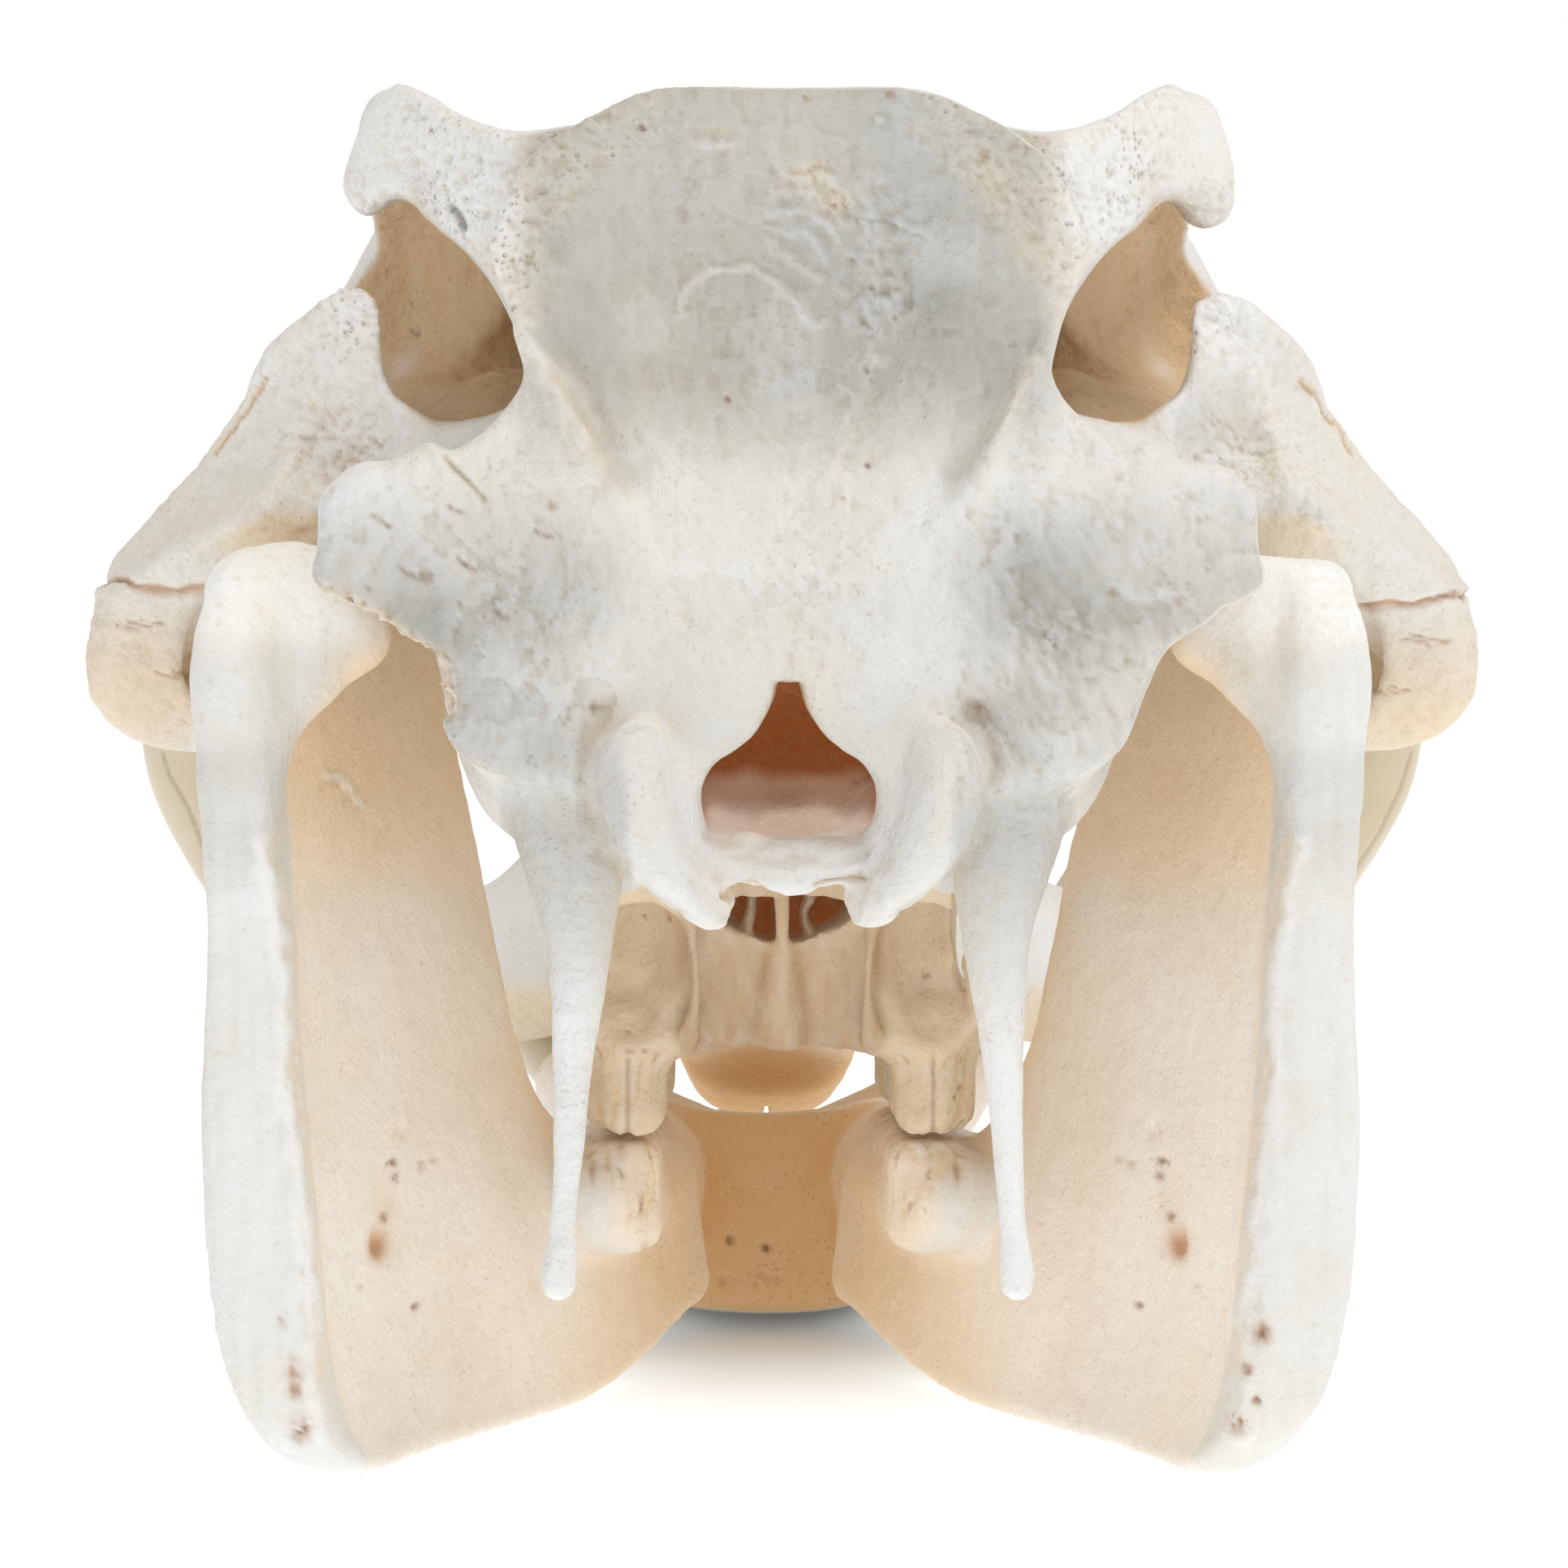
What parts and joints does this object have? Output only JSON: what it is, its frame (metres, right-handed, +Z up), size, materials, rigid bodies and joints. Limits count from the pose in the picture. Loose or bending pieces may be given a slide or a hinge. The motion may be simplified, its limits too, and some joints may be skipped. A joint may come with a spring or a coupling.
{
  "type": "warthog skull",
  "caption": "Cleaned warthog skull resting on its own lower jaw, with curved upper tusks, short lower tusks, flared cheek arches and long pointed snout.",
  "frame": {"origin": "middle of the bounding box's base, on the surface that the jaw rests on", "axes": "+Y from the back of the head towards the nose, +X towards the skull's own right side, +Z up"},
  "size_m": [0.2514, 0.3836, 0.2163],
  "materials": {
    "occiput": "dry bleached bone",
    "braincase": "dry bleached bone",
    "forehead": "dry bleached bone",
    "snout": "dry bleached bone",
    "zygomatic_arch_left": "dry bleached bone",
    "zygomatic_arch_right": "dry bleached bone",
    "paroccipital_process_left": "dry bleached bone",
    "paroccipital_process_right": "dry bleached bone",
    "mandible_chin": "dry bleached bone",
    "mandible_ramus_left": "dry bleached bone",
    "mandible_ramus_right": "dry bleached bone",
    "upper_tusk_left": "satin yellowed ivory",
    "upper_tusk_right": "satin yellowed ivory",
    "lower_tusk_left": "satin yellowed ivory",
    "lower_tusk_right": "satin yellowed ivory"
  },
  "bodies": {
    "root": {"occiput": "occiput", "braincase": "braincase", "forehead": "forehead", "snout": "snout", "zygomatic_arch_left": "zygomatic_arch_left", "zygomatic_arch_right": "zygomatic_arch_right", "paroccipital_process_left": "paroccipital_process_left", "paroccipital_process_right": "paroccipital_process_right", "mandible_chin": "mandible_chin", "mandible_ramus_left": "mandible_ramus_left", "mandible_ramus_right": "mandible_ramus_right", "upper_tusk_left": "upper_tusk_left", "upper_tusk_right": "upper_tusk_right", "lower_tusk_left": "lower_tusk_left", "lower_tusk_right": "lower_tusk_right"}
  },
  "joints": []
}
